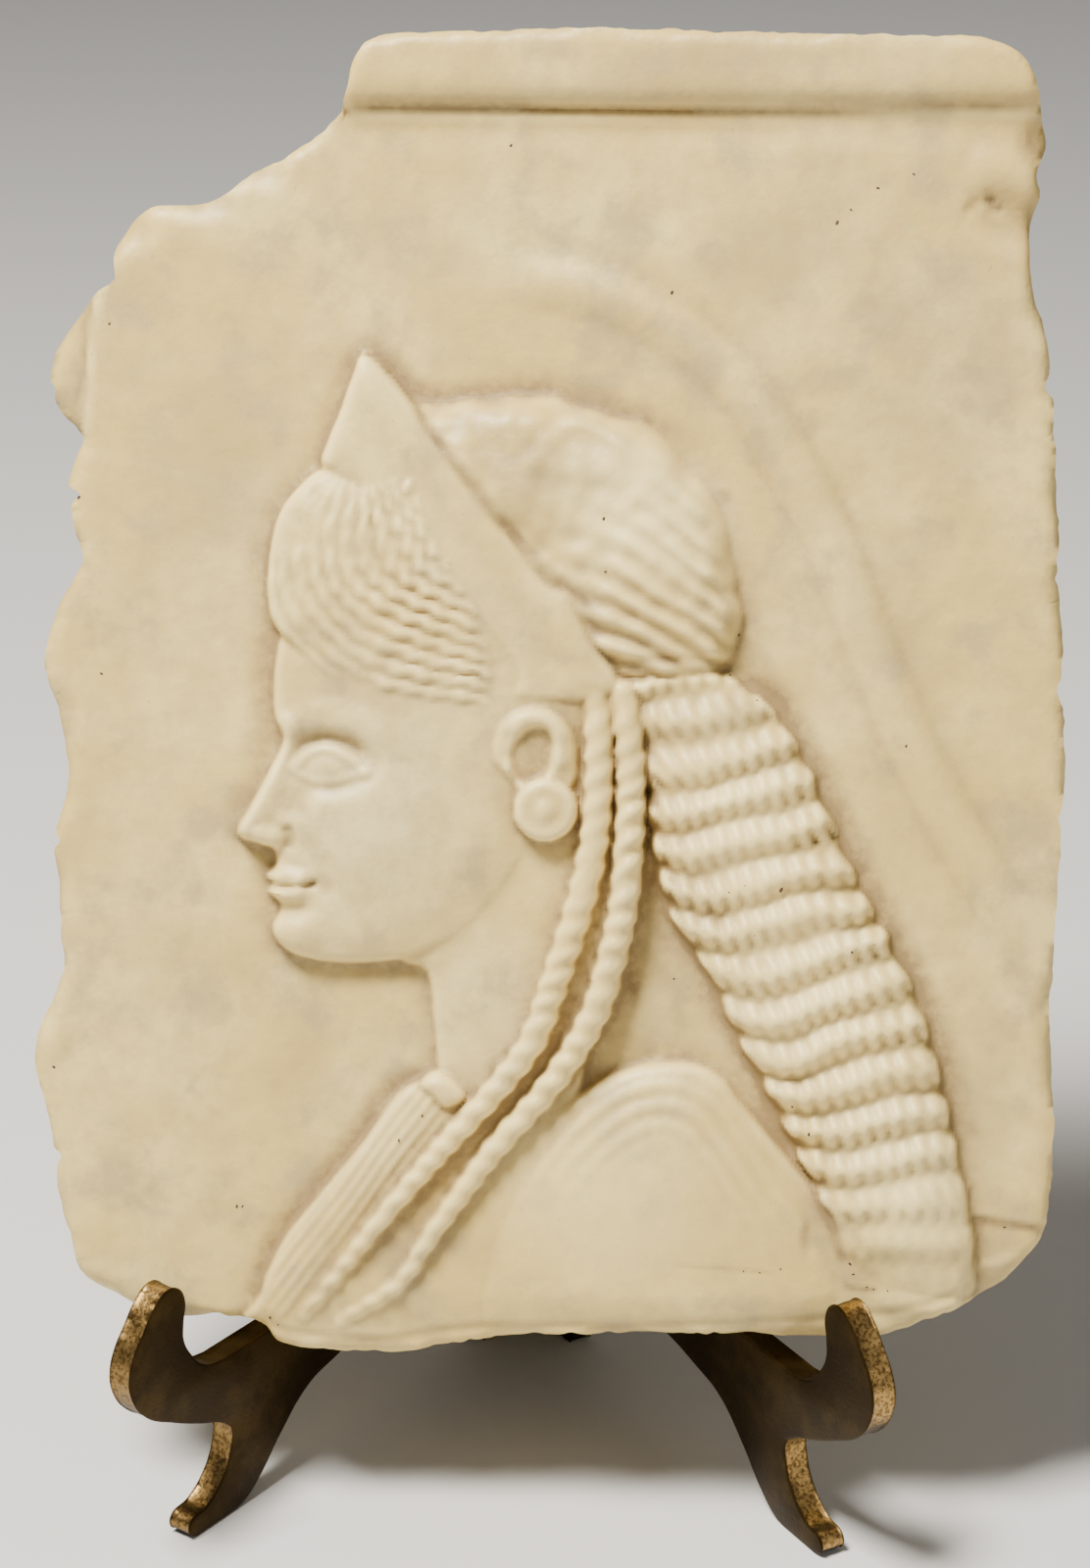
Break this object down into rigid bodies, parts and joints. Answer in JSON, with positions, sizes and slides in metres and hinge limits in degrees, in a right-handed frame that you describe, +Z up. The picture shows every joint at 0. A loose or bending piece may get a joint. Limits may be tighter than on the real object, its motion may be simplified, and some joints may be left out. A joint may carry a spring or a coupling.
{
  "type": "relief plaque",
  "caption": "Cast relief slab of a head in profile with broken edges, leaning in a small hinged brass easel.",
  "frame": {"origin": "middle of the whole object's footprint, on the surface that the easel stands on", "axes": "+Z up, +X to the right of someone facing the relief, the relief faces -Y and leans back towards +Y"},
  "size_m": [0.179, 0.1076, 0.2528],
  "materials": {
    "cast_marble": "satin, cream, with brown dirt in the hollows",
    "antique_brass": "dark antique faces with rough bright edges"
  },
  "bodies": {
    "root": {"relief_plaque": "cast_marble", "stand_leaf_left": "antique_brass", "stand_leaf_right": "antique_brass", "hinge_pin": "antique_brass"}
  },
  "joints": []
}
